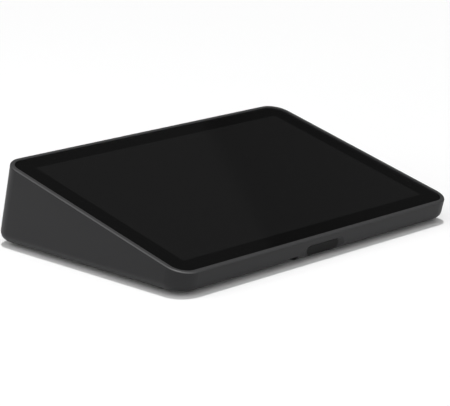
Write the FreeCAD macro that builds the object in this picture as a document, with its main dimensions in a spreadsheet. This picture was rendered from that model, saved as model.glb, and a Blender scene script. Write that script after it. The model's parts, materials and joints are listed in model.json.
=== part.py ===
import FreeCAD, Part
import math
import os
import re
import Sketcher

# Wedge-shaped countertop touchscreen terminal. Millimetres, +Z up, +X to the operator's right, -Y towards
# the operator. The origin is on the table under the middle of the object.
# A "level" position is given along the object's own axes. A "deck" position is given from the middle of the
# display's face: across, up the slope, and outwards from the glass, so depths below the glass are negative.

V = FreeCAD.Vector

SIZES = {
    # housing
    "tilt": 14.0,
    "body_width": 248.0,
    "slab_length": 166.0,
    "corner_radius": 13.5,
    "deck_centre_y": -5.7,
    "front_height": 14.92,
    "foot_height": 2.8,
    "bottom_round": 6.0,
    "rim_round": 0.9,
    "rim_width": 3.0,
    "rim_rise": 0.6,
    "seat_corner": 9.8,
    "wall": 2.6,
    "weld": 0.2,
    "flange_thickness": 3.6,
    "ledge_width": 3.8,
    "ledge_thickness": 2.4,
    "ledge_corner": 6.0,
    # display stack
    "glass_gap": 0.2,
    "glass_thickness": 1.8,
    "gasket_thickness": 0.3,
    "gasket_width": 3.0,
    "touch_thickness": 0.7,
    "touch_corner": 3.0,
    "loop_thickness": 0.3,
    "loop_width": 3.8,
    "loop_inset": 0.6,
    "loop_corner": 4.0,
    "lcd_gap": 2.0,
    "lcd_thickness": 3.0,
    "lcd_corner": 1.0,
    "foam_thickness": 0.5,
    "foam_width": 5.0,
    "tray_thickness": 1.0,
    "tray_gap": 0.6,
    "tray_corner": 3.0,
    "tray_ear_width": 8.0,
    "tray_ear_root": 3.0,
    "tray_ear_pitch": 60.0,
    "ribbon_slot_width": 20.0,
    "ribbon_slot_length": 6.0,
    "ribbon_slot_corner": 1.0,
    # front sensor window
    "window_width": 28.4,
    "window_height": 6.3,
    "window_thickness": 1.8,
    "window_gap": 0.15,
    "window_depth": 8.5,
    "dish_width": 37.0,
    "dish_height": 9.6,
    "dish_depth": 1.5,
    "eye_gap": 0.1,
    "eye_thickness": 0.9,
    "eye_width": 5.0,
    "eye_height": 2.4,
    "eye_drop": 1.0,
    "eye_board_width": 26.0,
    "eye_board_height": 4.6,
    "eye_board_thickness": 0.8,
    "eye_flex_width": 5.0,
    "eye_flex_thickness": 0.2,
    "eye_flex_height": 7.4,
    "eye_flex_gap": 0.1,
    # pry notch in the front bottom edge
    "notch_x": -27.3,
    "notch_width": 8.5,
    "notch_height": 3.2,
    "notch_reach": 15.0,
    # base plate
    "base_margin": 11.0,
    "base_overlap": 4.0,
    "base_gap": 0.25,
    "base_corner": 8.0,
    "plate_thickness": 2.0,
    "boss_radius": 3.0,
    "boss_height": 10.0,
    "boss_cap": 0.6,
    "base_screw_inset": 15.0,
    "base_screw_pitch": 64.0,
    "base_screw_radius": 1.25,
    "base_screw_hole_radius": 1.6,
    "base_screw_length": 5.2,
    "base_head_radius": 2.6,
    "base_head_height": 1.0,
    "base_head_sink": 0.1,
    "counterbore_radius": 2.8,
    "thread_gap": 0.02,
    "screw_end_gap": 0.2,
    # feet
    "foot_length": 28.0,
    "foot_width": 10.0,
    "foot_seat": 0.6,
    "foot_gap": 0.1,
    "foot_x": 90.0,
    "foot_pitch": 57.0,
    # cable bay, its outlet and its cover
    "bay_centre_y": 38.0,
    "bay_width": 120.0,
    "bay_length": 52.0,
    "bay_height": 22.2,
    "bay_wall": 1.8,
    "bay_corner": 2.0,
    "bay_flange_width": 150.0,
    "bay_flange_length": 68.0,
    "bay_flange_thickness": 1.6,
    "cover_width": 140.0,
    "cover_length": 62.0,
    "cover_corner": 3.0,
    "cover_gap": 0.3,
    "outlet_width": 24.0,
    "outlet_height": 12.0,
    "outlet_inset": 5.4,
    "cover_screw_x": 66.0,
    "cover_screw_radius": 1.5,
    "cover_screw_length": 7.0,
    "cover_head_radius": 3.6,
    "cover_head_height": 1.1,
    "cover_head_recess": 1.4,
    "cover_head_slot": 0.8,
    "cover_slot_depth": 0.5,
    "loose_gap": 0.3,
    "run_gap": 0.05,
    "insert_radius": 2.2,
    "insert_length": 5.6,
    "insert_boss_radius": 3.8,
    "insert_boss_height": 8.0,
    "insert_boss_cap": 1.0,
    # speaker
    "speaker_x": -92.0,
    "speaker_y": -12.0,
    "speaker_width": 28.0,
    "speaker_length": 20.0,
    "speaker_height": 6.0,
    "speaker_gasket": 0.5,
    "speaker_rim": 2.0,
    "slot_length": 18.0,
    "slot_width": 1.4,
    "slot_pitch": 3.4,
    # main board and what it carries
    "board_y": -18.0,
    "board_width": 150.0,
    "board_length": 52.0,
    "board_thickness": 1.6,
    "post_height": 2.2,
    "post_radius": 2.6,
    "post_inset": 5.0,
    "port_face_y": 11.2,
    "port_gap": 0.3,
    "network_x": -35.0,
    "network_width": 16.0,
    "network_height": 13.4,
    "network_length": 17.0,
    "network_socket_width": 11.8,
    "network_socket_height": 8.4,
    "network_socket_depth": 13.0,
    "usb_x": 0.0,
    "usb_width": 9.2,
    "usb_height": 3.4,
    "usb_length": 8.0,
    "usb_socket_width": 8.4,
    "usb_socket_height": 2.6,
    "usb_socket_depth": 6.4,
    "inlet_x": 32.0,
    "inlet_width": 9.4,
    "inlet_height": 11.0,
    "inlet_length": 14.0,
    "inlet_bore_radius": 2.8,
    "inlet_bore_depth": 9.5,
    "inlet_pin_radius": 1.0,
    "inlet_pin_inset": 1.0,
    "connector_x": -12.0,
    "connector_y": -12.0,
    "connector_width": 18.0,
    "connector_length": 4.0,
    "connector_height": 2.0,
    "ribbon_width": 16.0,
    "ribbon_thickness": 0.3,
    "processor_x": 25.0,
    "processor_y": -20.0,
    "processor_size": 14.0,
    "processor_height": 1.4,
    "pad_thickness": 1.0,
    "pad_inset": 0.5,
    "sink_size": 22.0,
    "sink_base": 1.5,
    "sink_height": 6.0,
    "fin_thickness": 1.0,
    "memory_x": 44.0,
    "memory_y": -21.0,
    "memory_pitch": 18.0,
    "memory_width": 12.0,
    "memory_length": 8.0,
    "memory_height": 1.0,
    "can_x": -45.0,
    "can_y": -28.0,
    "can_width": 30.0,
    "can_length": 22.0,
    "can_height": 2.4,
    "module_x": -60.0,
    "module_y": -6.0,
    "module_width": 14.0,
    "module_length": 12.0,
    "module_height": 2.2,
    "buzzer_x": 62.0,
    "buzzer_y": -30.0,
    "buzzer_radius": 6.0,
    "buzzer_height": 5.0,
    "coin_gap": 0.1,
    "coin_x": -15.0,
    "coin_y": -32.0,
    "coin_radius": 8.0,
    "coin_height": 3.0,
    "holder_wall": 1.2,
    "holder_floor": 0.6,
    # small screws
    "small_screw_radius": 0.8,
    "small_screw_length": 3.2,
    "small_head_radius": 1.5,
    "small_head_height": 0.9,
    "small_hole_radius": 1.0,
    # power button and lock slot in the back wall
    "button_x": 90.0,
    "button_depth": 18.0,
    "button_radius": 3.7,
    "button_proud": 0.8,
    "button_flange_radius": 4.8,
    "button_flange": 0.8,
    "button_stem_radius": 1.5,
    "button_travel": 0.6,
    "button_spare": 0.4,
    "button_stem_reach": 1.2,
    "switch_size": 7.0,
    "switch_height": 3.4,
    "switch_socket_depth": 2.2,
    "button_board_width": 22.0,
    "button_board_height": 10.0,
    "button_board_thickness": 1.2,
    "button_post_width": 4.0,
    "lock_x": -90.0,
    "lock_depth": 20.0,
    "lock_width": 7.0,
    "lock_height": 3.0,
    "lock_plate_width": 18.0,
    "lock_plate_height": 11.0,
    "lock_plate_thickness": 1.5,
    "lock_screw_inset": 2.2,
}

SIN = "sin(tilt * 1 deg)"
COS = "cos(tilt * 1 deg)"
TAN = "tan(tilt * 1 deg)"

# height of the middle of the display, so that the front edge keeps its own height
DECK_Z = f"(front_height + slab_length / 2 * {SIN})"

# depths below the face of the glass
LEDGE_TOP = "(-glass_thickness - gasket_thickness)"
LEDGE_BACK = f"({LEDGE_TOP} - ledge_thickness)"
TOUCH_BACK = "(-glass_thickness - touch_thickness)"
LOOP_BACK = f"({TOUCH_BACK} - loop_thickness)"
LCD_BACK = f"({LOOP_BACK} - lcd_thickness)"
TRAY_TOP = f"({LCD_BACK} - foam_thickness)"
TRAY_BACK = f"({TRAY_TOP} - tray_thickness)"

# outlines across and up the slope
POCKET = ("(body_width - 2 * rim_width)", "(slab_length - 2 * rim_width)")
OPENING = tuple(f"({side} - 2 * ledge_width)" for side in POCKET)
LCD = tuple(f"({side} - 2 * lcd_gap)" for side in OPENING)
TRAY = tuple(f"({side} - 2 * tray_gap)" for side in OPENING)
HALF_CAVITY = "(body_width / 2 - wall)"

# heights and outlines of the base
PLATE_TOP = "(foot_height + plate_thickness)"
FLANGE_TOP = "(foot_height + flange_thickness)"
BASE_MIDDLE = f"(deck_centre_y + ({DECK_Z} - foot_height) * {TAN})"
BASE_OPENING = ("(body_width - 2 * base_margin)", f"(slab_length / {COS} - 2 * base_margin)")
BASE_BACK = f"({BASE_MIDDLE} + slab_length / {COS} / 2)"
OUTLET_END = f"({BASE_BACK} - outlet_inset)"
BOARD_BOTTOM = f"({PLATE_TOP} + post_height)"
BOARD_TOP = f"({BOARD_BOTTOM} + board_thickness)"
RIBBON_UP = f"((connector_y - deck_centre_y) / {COS} + ({LCD_BACK}) * {TAN})"

# how far a cutting solid passes the face it opens
OVER = "1"

doc = FreeCAD.newDocument("terminal")
sheet = doc.addObject("Spreadsheet::Sheet", "sizes")
for row, (name, size) in enumerate(SIZES.items(), start=1):
    sheet.set(f"A{row}", name)
    sheet.set(f"B{row}", f"{size}")
    sheet.setAlias(f"B{row}", name)
doc.recompute()

NODES = []


def cells(text):
    """Point every size named in an expression at its cell in the sheet."""

    def cell(word):
        return f"sizes.{word[0]}" if word[0] in SIZES else word[0]

    return re.sub(r"[a-z][a-z0-9_]*", cell, str(text))


def bind(thing, **values):
    """Bind an object's properties to expressions over the sheet."""
    for name, text in values.items():
        thing.setExpression(name.replace("__", "."), cells(text))


def value(text):
    """What an expression over the sheet comes to."""
    return float(sheet.evalExpression(cells(text)))


def deck_y(up, out):
    """The level y of a deck position."""
    return f"(deck_centre_y + ({up}) * {COS} - ({out}) * {SIN})"


def deck_z(up, out):
    """The height of a deck position above the table."""
    return f"({DECK_Z} + ({up}) * {SIN} + ({out}) * {COS})"


def place(thing, x, y, z, deck=False):
    """Put an object at a level or a deck position; at a deck position it leans with the display."""
    if deck:
        y, z = deck_y(y, z), deck_z(y, z)
        thing.Placement.Rotation = FreeCAD.Rotation(V(1, 0, 0), SIZES["tilt"])
        bind(thing, Placement__Rotation__Angle="tilt * 1 deg")
    bind(thing, Placement__Base__x=x, Placement__Base__y=y, Placement__Base__z=z)
    return thing


def node(thing, label):
    """Name a finished sub-part."""
    thing.Label = label
    NODES.append(thing)
    return thing


def box(x, y, z, deck=False):
    """A block over three (low, high) spans."""
    made = doc.addObject("Part::Box", "Box")
    spans = {"Length": x, "Width": y, "Height": z}
    for side, (low, high) in spans.items():
        bind(made, **{side: f"({high}) - ({low})"})
    return place(made, x[0], y[0], z[0], deck)


def block(x, y, width, length, bottom, top, deck=False):
    """A block centred on x and y, from a bottom to a top height."""
    across = (f"({x}) - ({width}) / 2", f"({x}) + ({width}) / 2")
    along = (f"({y}) - ({length}) / 2", f"({y}) + ({length}) / 2")
    return box(across, along, (bottom, top), deck)


def cylinder(x, y, radius, bottom, top, deck=False):
    """An upright round bar; at a deck position it stands square to the display."""
    made = doc.addObject("Part::Cylinder", "Cylinder")
    bind(made, Radius=radius, Height=f"({top}) - ({bottom})")
    return place(made, x, y, bottom, deck)


def back_cylinder(x, out, radius, inner, outer):
    """A round bar square to the back wall, between two distances up the slope."""
    made = doc.addObject("Part::Cylinder", "Cylinder")
    bind(made, Radius=radius, Height=f"({outer}) - ({inner})")
    made.Placement.Rotation = FreeCAD.Rotation(V(-1, 0, 0), 90 - SIZES["tilt"])
    bind(made, Placement__Rotation__Angle="90 deg - tilt * 1 deg")
    return place(made, x, deck_y(inner, out), deck_z(inner, out))


def fuse(*pieces):
    """Join solids, or group separate ones."""
    made = doc.addObject("Part::MultiFuse", "Fusion")
    made.Shapes = list(pieces)
    return made


def cut(base, *tools):
    """Take some solids away from another."""
    for tool in tools:
        made = doc.addObject("Part::Cut", "Cut")
        made.Base = base
        made.Tool = tool
        base = made
    return base


def new_body(name, deck=False):
    """An empty body; a deck body leans with the display."""
    made = doc.addObject("PartDesign::Body", name)
    if deck:
        place(made, "0", "0", "0", deck=True)
    return made


def attach(made, body, role):
    """Lay a sketch or a plane on one of its body's origin planes."""
    support = next(face for face in body.Origin.OriginFeatures if face.Role == role)
    made.AttachmentSupport = [(support, "")]
    made.MapMode = "FlatFace"


def sketch(body, plane="XY_Plane", x="0", y="0", z="0", level=False):
    """A sketch on one of a body's origin planes; level ones in a deck body lie flat."""
    made = body.newObject("Sketcher::SketchObject", "Sketch")
    attach(made, body, plane)
    if level:
        flatten(made, x, y, z)
    else:
        bind(made, AttachmentOffset__Base__x=x, AttachmentOffset__Base__y=y, AttachmentOffset__Base__z=z)
    return made


def flatten(thing, x, y, z):
    """Lay something attached in a deck body flat at a level position."""
    ahead = f"(({y}) - deck_centre_y)"
    above = f"(({z}) - {DECK_Z})"
    thing.AttachmentOffset = FreeCAD.Placement(V(0, 0, 0), FreeCAD.Rotation(V(-1, 0, 0), SIZES["tilt"]))
    bind(
        thing,
        AttachmentOffset__Rotation__Angle="tilt * 1 deg",
        AttachmentOffset__Base__x=x,
        AttachmentOffset__Base__y=f"{ahead} * {COS} + {above} * {SIN}",
        AttachmentOffset__Base__z=f"{above} * {COS} - {ahead} * {SIN}",
    )


def measure(drawn, kind, *ends, text):
    """Add a bound dimension to a sketch."""
    index = drawn.addConstraint(Sketcher.Constraint(kind, *ends, value(text)))
    bind(drawn, **{f"Constraints[{index}]": text})


def outline(drawn, width, length, radius):
    """A rounded rectangle centred on the sketch, drawn at its own size so the dimensions already hold."""
    half_x, half_y, bend = value(width) / 2, value(length) / 2, value(radius)
    corners = [(half_x, -half_y, 270), (half_x, half_y, 0), (-half_x, half_y, 90), (-half_x, -half_y, 180)]
    arcs = []
    for x, y, start in corners:
        centre = V(x - math.copysign(bend, x), y - math.copysign(bend, y), 0)
        circle = Part.Circle(centre, V(0, 0, 1), bend)
        arc = Part.ArcOfCircle(circle, math.radians(start), math.radians(start + 90))
        arcs.append(drawn.addGeometry(arc, False))
    sides = []
    for index, arc in enumerate(arcs):
        following = arcs[(index + 1) % 4]
        line = Part.LineSegment(drawn.getPoint(arc, 2), drawn.getPoint(following, 1))
        sides.append(drawn.addGeometry(line, False))
        drawn.addConstraint(Sketcher.Constraint("Tangent", arc, 2, sides[-1], 1))
        drawn.addConstraint(Sketcher.Constraint("Tangent", sides[-1], 2, following, 1))
        drawn.addConstraint(Sketcher.Constraint("Horizontal" if index % 2 else "Vertical", sides[-1]))
    for arc in arcs[1:]:
        drawn.addConstraint(Sketcher.Constraint("Equal", arcs[0], arc))
    drawn.addConstraint(Sketcher.Constraint("Symmetric", arcs[0], 3, arcs[2], 3, -1, 1))
    measure(drawn, "DistanceX", sides[2], 1, sides[0], 1, text=width)
    measure(drawn, "DistanceY", sides[3], 1, sides[1], 1, text=length)
    measure(drawn, "Radius", arcs[0], text=radius)
    return drawn


def oblong(drawn, width, height):
    """A round-ended slot centred on the sketch, lying along its x axis."""
    half, bend = (value(width) - value(height)) / 2, value(height) / 2
    ends = []
    for x, start in ((half, -90), (-half, 90)):
        circle = Part.Circle(V(x, 0, 0), V(0, 0, 1), bend)
        arc = Part.ArcOfCircle(circle, math.radians(start), math.radians(start + 180))
        ends.append(drawn.addGeometry(arc, False))
    for this, other, y in ((ends[0], ends[1], bend), (ends[1], ends[0], -bend)):
        start, finish = drawn.getPoint(this, 2), drawn.getPoint(other, 1)
        line = drawn.addGeometry(Part.LineSegment(start, finish), False)
        drawn.addConstraint(Sketcher.Constraint("Tangent", this, 2, line, 1))
        drawn.addConstraint(Sketcher.Constraint("Tangent", line, 2, other, 1))
        drawn.addConstraint(Sketcher.Constraint("Horizontal", line))
    drawn.addConstraint(Sketcher.Constraint("Symmetric", ends[0], 3, ends[1], 3, -1, 1))
    measure(drawn, "DistanceX", ends[1], 3, ends[0], 3, text=f"({width}) - ({height})")
    measure(drawn, "Radius", ends[0], text=f"({height}) / 2")
    return drawn


def pad(body, drawn, length, down=False):
    """Add a sketch's outline to a body."""
    made = body.newObject("PartDesign::Pad", "Pad")
    made.Profile = drawn
    made.Reversed = down
    bind(made, Length=length)
    return made


def pocket(body, drawn, length=None, up=False):
    """Take a sketch's outline out of a body, right through if no length is given."""
    made = body.newObject("PartDesign::Pocket", "Pocket")
    made.Profile = drawn
    made.Reversed = up
    if length is None:
        made.Type = "ThroughAll"
    else:
        bind(made, Length=length)
    return made


def rounded(body, edges, radius):
    """Round the named edges of a body's last feature."""
    last = body.Tip
    made = body.newObject("PartDesign::Fillet", "Fillet")
    made.Base = (last, edges)
    bind(made, Radius=radius)
    return made


def edges_where(body, test):
    """The names of the edges whose two ends and middle pass a test."""
    doc.recompute()
    names = []
    for index, edge in enumerate(body.Tip.Shape.Edges, start=1):
        middle = edge.valueAt((edge.FirstParameter + edge.LastParameter) / 2)
        points = [vertex.Point for vertex in edge.Vertexes] + [middle]
        if all(test(point) for point in points):
            names.append(f"Edge{index}")
    return names


def plate(label, size, radius, bottom, thickness, deck=False, y="0"):
    """A body holding one rounded plate."""
    body = new_body(label, deck)
    drawn = outline(sketch(body, y=y, z=bottom), *size, radius)
    pad(body, drawn, thickness)
    return body


def ring(label, outer, outer_radius, inner, inner_radius, bottom, thickness):
    """A body holding one flat frame that leans with the display."""
    body = plate(label, outer, outer_radius, bottom, thickness, deck=True)
    hole = outline(sketch(body, z=bottom), *inner, inner_radius)
    pocket(body, hole, up=True)
    return node(body, label)


def signs(pitch_x, pitch_y, middle_y="0"):
    """The four corners of a rectangle of points."""
    return [
        (f"{side_x} * ({pitch_x})", f"({middle_y}) + {side_y} * ({pitch_y})")
        for side_x in (-1, 1)
        for side_y in (-1, 1)
    ]


def down_screw(x, y, face, deck=False):
    """A small screw whose head lies on a face and whose shank points down."""
    head = cylinder(x, y, "small_head_radius", face, f"{face} + small_head_height", deck)
    shank = cylinder(x, y, "small_screw_radius", f"{face} - small_screw_length", face, deck)
    return fuse(head, shank)


def up_screw(x, y, face, deck=False):
    """A small screw whose head hangs under a face and whose shank points up."""
    head = cylinder(x, y, "small_head_radius", f"{face} - small_head_height", face, deck)
    shank = cylinder(x, y, "small_screw_radius", face, f"{face} + small_screw_length", deck)
    return fuse(head, shank)


EAR_REACH = "(ledge_width + rim_width - wall)"
TRAY_EARS = [
    (f"{side} * ({HALF_CAVITY} - {EAR_REACH} / 2)", f"{step} * tray_ear_pitch")
    for side in (-1, 1)
    for step in (-1, 0, 1)
]
BASE_SCREWS = [
    (f"{side} * (body_width / 2 - base_screw_inset)", f"{BASE_MIDDLE} + {step} * base_screw_pitch")
    for side in (-1, 1)
    for step in (-1, 0, 1)
]
BOARD_POSTS = signs("board_width / 2 - post_inset", "board_length / 2 - post_inset", "board_y")
COVER_SCREW = ("cover_screw_x", "bay_centre_y")
FEET = signs("foot_x", "foot_pitch", BASE_MIDDLE)
UNDER = f"foot_height - {OVER}"
THROUGH_PLATE = (UNDER, f"{PLATE_TOP} + {OVER}")
BASE_HEAD_TOP = "(foot_height + base_head_sink + base_head_height)"
PORTS = [
    ("network_x", "network_width", "network_height"),
    ("usb_x", "usb_width", "usb_height"),
    ("inlet_x", "inlet_width", "inlet_height"),
]
BACK = "slab_length / 2"
BACK_INNER = "(slab_length / 2 - wall)"
BUTTON_OUT = "(-button_depth)"
LOCK_OUT = "(-lock_depth)"
BUTTON_FLANGE_INNER = f"({BACK_INNER} - button_flange)"
SWITCH_FACE = f"({BUTTON_FLANGE_INNER} - button_travel - button_spare)"
BUTTON_BOARD_FACE = f"({SWITCH_FACE} - switch_height)"
BUTTON_BOARD_BACK = f"({BUTTON_BOARD_FACE} - button_board_thickness)"
BUTTON_POST_X = [f"button_x + {side} * (button_board_width / 2 - button_post_width / 2)" for side in (-1, 1)]
LOCK_SCREW_X = [f"lock_x + {side} * (lock_plate_width / 2 - lock_screw_inset)" for side in (-1, 1)]
LOCK_SPAN = ("lock_x - lock_width / 2", "lock_x + lock_width / 2")
LOCK_OUT_SPAN = (f"{LOCK_OUT} - lock_height / 2", f"{LOCK_OUT} + lock_height / 2")
LOCK_PLATE_FACE = f"({BACK_INNER} - lock_plate_thickness)"
SCREW_BITE = "(small_screw_length + screw_end_gap)"
PILOT = "small_screw_radius + thread_gap"


def build_housing():
    """The moulded shell: wedge, rim, ledge for the glass, window, notch, outlet, button and lock holes."""
    body = new_body("housing_body", deck=True)
    slab = outline(sketch(body, z="rim_rise"), "body_width", "slab_length", "corner_radius")
    pad(body, slab, f"rim_rise + {DECK_Z} / {COS} + slab_length * {TAN}", down=True)
    ground = outline(sketch(body, z="foot_height", level=True), "2 * body_width", "2 * slab_length", "1")
    pocket(body, ground)

    tilt = math.radians(SIZES["tilt"])

    def on_base(point):
        height = value(DECK_Z) + point.y * math.sin(tilt) + point.z * math.cos(tilt)
        return abs(height - SIZES["foot_height"]) < 0.01

    rounded(body, edges_where(body, on_base), "bottom_round")
    rounded(body, edges_where(body, lambda point: abs(point.z - SIZES["rim_rise"]) < 0.01), "rim_round")

    seat = outline(sketch(body, z="rim_rise"), *POCKET, "seat_corner")
    pocket(body, seat, f"rim_rise - {LEDGE_TOP}")
    opening = outline(sketch(body, z=LEDGE_TOP), *OPENING, "ledge_corner")
    pocket(body, opening, "ledge_thickness")

    floor = body.newObject("PartDesign::Plane", "FlangeTop")
    attach(floor, body, "XY_Plane")
    flatten(floor, "0", "0", FLANGE_TOP)
    cavity_size = ("body_width - 2 * wall", "slab_length - 2 * wall")
    inside = outline(sketch(body, z=LEDGE_BACK), *cavity_size, "corner_radius - wall")
    cavity = body.newObject("PartDesign::Pocket", "Cavity")
    cavity.Profile = inside
    cavity.Type = "UpToFace"
    cavity.UpToFace = (floor, [""])

    hatch = outline(sketch(body, y=BASE_MIDDLE, z="foot_height", level=True), *BASE_OPENING, "base_corner")
    pocket(body, hatch, "plate_thickness", up=True)
    inner = tuple(f"({side} - 2 * base_overlap)" for side in BASE_OPENING)
    throat = outline(sketch(body, y=BASE_MIDDLE, z="foot_height", level=True), *inner, "base_corner / 2")
    pocket(body, throat, "flange_thickness", up=True)

    # the front wall: its plane faces the operator
    front = "slab_length / 2"
    rim_sketch = oblong(sketch(body, "XZ_Plane", y="-window_depth", z=front), "dish_width", "dish_height")
    bed_sketch = oblong(
        sketch(body, "XZ_Plane", y="-window_depth", z=f"{front} - dish_depth"),
        "window_width + 2 * window_gap",
        "window_height + 2 * window_gap",
    )
    dish = body.newObject("PartDesign::SubtractiveLoft", "Dish")
    dish.Profile = rim_sketch
    dish.Sections = [bed_sketch]
    dish.Ruled = True
    hole = oblong(
        sketch(body, "XZ_Plane", y="-window_depth", z=f"{front} - dish_depth"),
        "window_width + 2 * window_gap",
        "window_height + 2 * window_gap",
    )
    pocket(body, hole, "window_thickness")
    doc.recompute()

    pieces = []
    for x, y in TRAY_EARS:
        pieces.append(ear_block(x, y))
    for x, y in BASE_SCREWS:
        pieces.append(cylinder(x, y, "boss_radius", PLATE_TOP, "boss_height"))
    for x in BUTTON_POST_X:
        across = (f"{x} - button_post_width / 2", f"{x} + button_post_width / 2")
        out = (f"{BUTTON_OUT} - button_board_height / 2", f"{BUTTON_OUT} + button_board_height / 2")
        pieces.append(box(across, (BUTTON_BOARD_FACE, f"{BACK} - wall / 2"), out, deck=True))

    holes = []
    for x, y in TRAY_EARS:
        holes.append(cylinder(x, y, PILOT, TRAY_TOP, f"{TRAY_BACK} + {SCREW_BITE}", deck=True))
    for x, y in BASE_SCREWS:
        depth = ("foot_height", "boss_height - boss_cap")
        holes.append(cylinder(x, y, "base_screw_radius + thread_gap", *depth))
    notch = ("notch_x - notch_width / 2", "notch_x + notch_width / 2")
    notch_start = f"({BASE_MIDDLE} - slab_length / {COS} / 2 - {OVER})"
    notch_along = (notch_start, f"{notch_start} + notch_reach")
    holes.append(box(notch, notch_along, ("0", "foot_height + notch_height")))
    duct = "(outlet_width / 2 + bay_wall + base_gap)"
    duct_height = "foot_height + outlet_height + bay_wall + base_gap"
    holes.append(box((f"-{duct}", duct), ("bay_centre_y", f"2 * {OUTLET_END}"), ("0", duct_height)))
    through_back = (f"{BACK_INNER} - {OVER}", f"{BACK} + {OVER}")
    holes.append(back_cylinder("button_x", BUTTON_OUT, "button_radius + loose_gap", *through_back))
    for x in BUTTON_POST_X:
        depth = (BUTTON_BOARD_FACE, f"{BUTTON_BOARD_BACK} + {SCREW_BITE}")
        holes.append(back_cylinder(x, BUTTON_OUT, PILOT, *depth))
    holes.append(box(LOCK_SPAN, through_back, LOCK_OUT_SPAN, deck=True))
    for x in LOCK_SCREW_X:
        holes.append(back_cylinder(x, LOCK_OUT, PILOT, BACK_INNER, f"{LOCK_PLATE_FACE} + {SCREW_BITE}"))
    node(cut(fuse(body, *pieces), fuse(*holes)), "housing")


def ear_block(x, y):
    """A pad under the glass ledge that an ear of the display tray screws to."""
    heights = (TRAY_TOP, f"{LEDGE_BACK} + weld")
    return block(x, y, f"({EAR_REACH} + weld)", "tray_ear_width", *heights, deck=True)


def build_display():
    """Glass, its adhesive frame, touch layer, contactless loop, panel, foam and tray."""
    glass = tuple(f"({side} - 2 * glass_gap)" for side in POCKET)
    glass_corner = "seat_corner - glass_gap"
    pane = plate("cover_glass", glass, glass_corner, "-glass_thickness", "glass_thickness", deck=True)
    node(pane, "cover_glass")
    gasket = tuple(f"({side} - 2 * gasket_width)" for side in glass)
    ring("glass_gasket", glass, glass_corner, gasket, "ledge_corner", LEDGE_TOP, "gasket_thickness")
    touch = plate("touch_sensor", LCD, "touch_corner", TOUCH_BACK, "touch_thickness", deck=True)
    node(touch, "touch_sensor")
    outer = tuple(f"({side} - 2 * loop_inset)" for side in LCD)
    inner = tuple(f"({side} - 2 * loop_width)" for side in outer)
    ring("contactless_loop", outer, "loop_corner", inner, "loop_corner / 2", LOOP_BACK, "loop_thickness")
    node(plate("lcd_panel", LCD, "lcd_corner", LCD_BACK, "lcd_thickness", deck=True), "lcd_panel")
    pads = tuple(f"({side} - 2 * foam_width)" for side in LCD)
    ring("foam_frame", LCD, "lcd_corner", pads, "lcd_corner", TRAY_TOP, "foam_thickness")

    tray = plate("display_tray_body", TRAY, "tray_corner", TRAY_BACK, "tray_thickness", deck=True)
    slot = outline(
        sketch(tray, x="connector_x", y=RIBBON_UP, z=TRAY_BACK),
        "ribbon_slot_width",
        "ribbon_slot_length",
        "ribbon_slot_corner",
    )
    pocket(tray, slot, up=True)
    ears = [ear(x, y) for x, y in TRAY_EARS]
    span = (f"{TRAY_BACK} - {OVER}", f"{TRAY_TOP} + {OVER}")
    holes = [cylinder(x, y, "small_hole_radius", *span, deck=True) for x, y in TRAY_EARS]
    node(cut(fuse(tray, *ears), fuse(*holes)), "display_tray")


def ear(x, y):
    """One screw ear of the display tray."""
    side = -1 if x.startswith("-") else 1
    edge = f"{side} * ({TRAY[0]} / 2 - tray_ear_root)"
    tip = f"{side} * ({HALF_CAVITY} - tray_gap / 2)"
    across = (edge, tip) if side > 0 else (tip, edge)
    along = (f"({y}) - tray_ear_width / 2", f"({y}) + tray_ear_width / 2")
    return box(across, along, (TRAY_BACK, TRAY_TOP), deck=True)


def build_window():
    """The oblong front window with the presence sensor, its board and its flex behind it."""
    body = new_body("sensor_window_body", deck=True)
    face = "slab_length / 2 - dish_depth"
    lens = oblong(sketch(body, "XZ_Plane", y="-window_depth", z=face), "window_width", "window_height")
    pad(body, lens, "window_thickness", down=True)
    node(body, "sensor_window")
    lens_back = "(dish_depth + window_thickness - slab_length / 2)"
    eye_face = f"({lens_back} + eye_gap)"
    board_face = f"({eye_face} + eye_thickness)"
    board_back = f"({board_face} + eye_board_thickness)"
    eye_span = (f"{LEDGE_BACK} - eye_drop - eye_height", f"{LEDGE_BACK} - eye_drop")
    half = "eye_width / 2"
    node(box((f"-{half}", half), (eye_face, board_face), eye_span, deck=True), "presence_sensor")
    half = "eye_board_width / 2"
    board_span = (f"{LEDGE_BACK} - eye_board_height", LEDGE_BACK)
    node(box((f"-{half}", half), (board_face, board_back), board_span, deck=True), "sensor_board")
    half = "eye_flex_width / 2"
    start = deck_y(board_back, f"(eye_flex_height - {DECK_Z} - ({board_back}) * {SIN}) / {COS}")
    heights = ("eye_flex_height", "eye_flex_height + eye_flex_thickness")
    reach = (f"{start} + eye_flex_gap", "board_y - board_length / 2")
    node(box((f"-{half}", half), reach, heights), "sensor_flex")


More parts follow.
